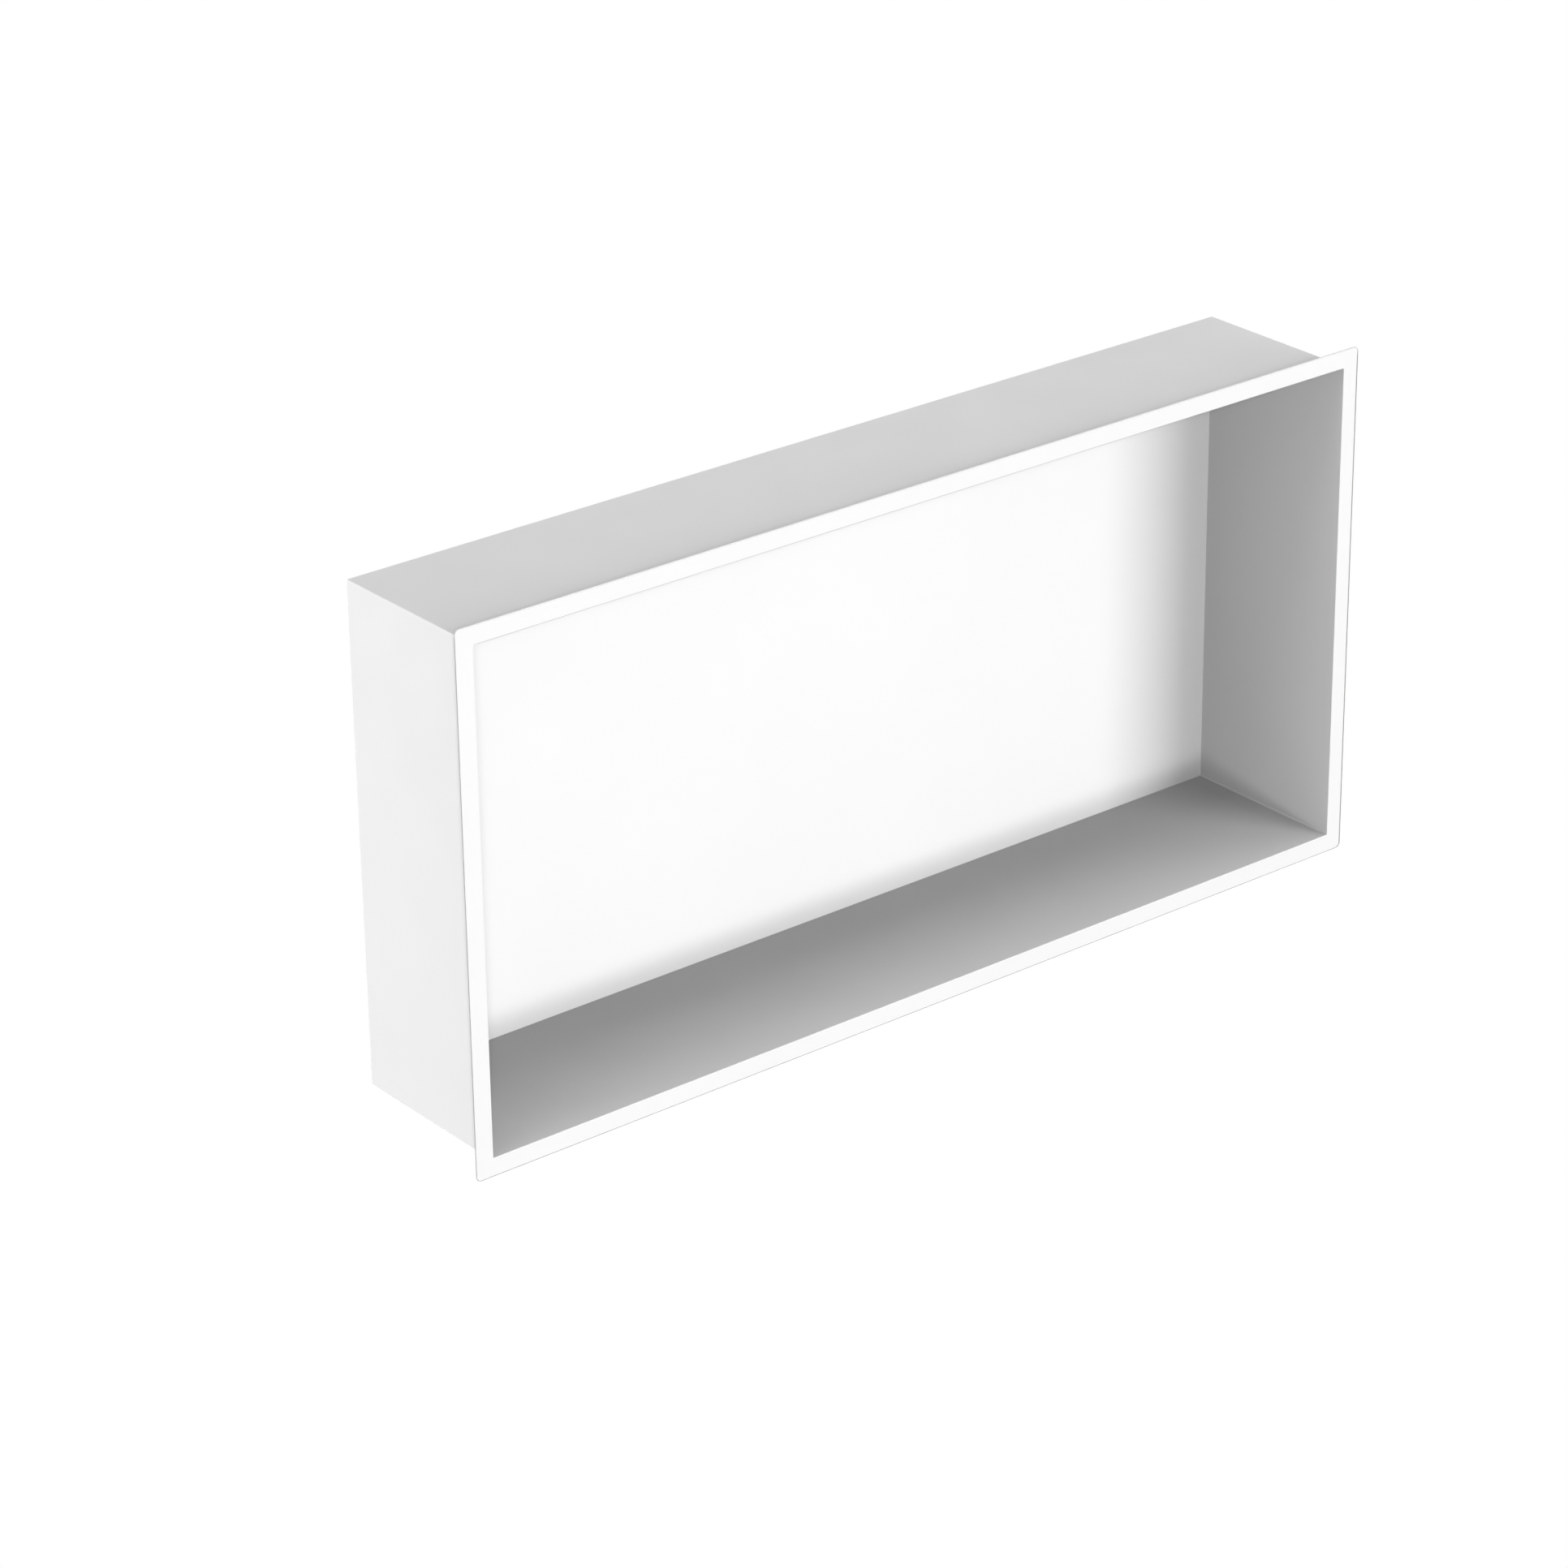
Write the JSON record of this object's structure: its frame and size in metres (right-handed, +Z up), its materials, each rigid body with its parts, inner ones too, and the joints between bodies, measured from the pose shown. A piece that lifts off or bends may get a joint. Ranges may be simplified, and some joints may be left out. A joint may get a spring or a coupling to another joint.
{
  "type": "shower niche insert",
  "caption": "Open-fronted rectangular box of folded sheet steel, coated white, with a thin flat rim, set into a tiled shower wall as a recess for bottles and soap.",
  "frame": {"origin": "centre of the opening on the finished wall, the plane that the rim's back lies on", "axes": "+X along the niche, to the right as seen from the room; +Y into the wall; +Z up"},
  "size_m": [0.6, 0.105, 0.3],
  "materials": {
    "white_coat": "satin"
  },
  "bodies": {
    "root": {"niche_body": "white_coat"}
  },
  "joints": []
}
